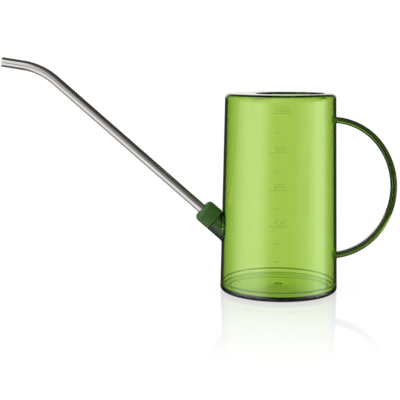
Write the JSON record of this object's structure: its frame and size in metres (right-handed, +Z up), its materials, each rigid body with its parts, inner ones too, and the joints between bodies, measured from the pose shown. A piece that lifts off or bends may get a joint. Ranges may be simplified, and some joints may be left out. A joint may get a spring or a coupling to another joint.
{
  "type": "watering can",
  "caption": "Clear jug with a half-closed top, bow handle and bent steel spout held by a screw nut.",
  "frame": {"origin": "centre of the base on the ground", "axes": "+Z up, +X towards the handle, -X towards the spout, the can's plane of symmetry is XZ"},
  "size_m": [0.3338, 0.1002, 0.1983],
  "materials": {
    "clear_green": "clear, gloss",
    "clear_green_base": "clear, gloss",
    "clear_green_handle": "clear, gloss",
    "clear_green_neck": "clear, gloss",
    "green_plastic": "satin",
    "gasket": "matte",
    "ferrule": "matte",
    "steel": "bright drawn"
  },
  "bodies": {
    "can": {"body_shell": "clear_green", "base_plate": "clear_green_base", "handle": "clear_green_handle", "spout_neck": "clear_green_neck"},
    "seal": {"spout_gasket": "gasket"},
    "spout": {"spout_tube": "steel", "spout_ferrule": "ferrule"},
    "nut": {"spout_nut": "green_plastic"}
  },
  "joints": [
    {"name": "spout_release", "type": "slide", "parent": "can", "child": "seal", "axis": [-0.749, 0, 0.6626], "range_m": [0, 0.0075]},
    {"name": "spout_swivel", "type": "hinge", "parent": "seal", "child": "spout", "pos_m": [-0.04897, 0, 0.05511], "axis": [-0.749, 0, 0.6626], "continuous": true},
    {"name": "nut_turn", "type": "hinge", "parent": "seal", "child": "nut", "pos_m": [-0.04897, 0, 0.05511], "axis": [-0.749, 0, 0.6626], "range_deg": [0, 900]}
  ],
  "couplings": [
    {"joint": "nut_turn", "follows": "spout_release", "rad_per_m": 2094.4}
  ]
}
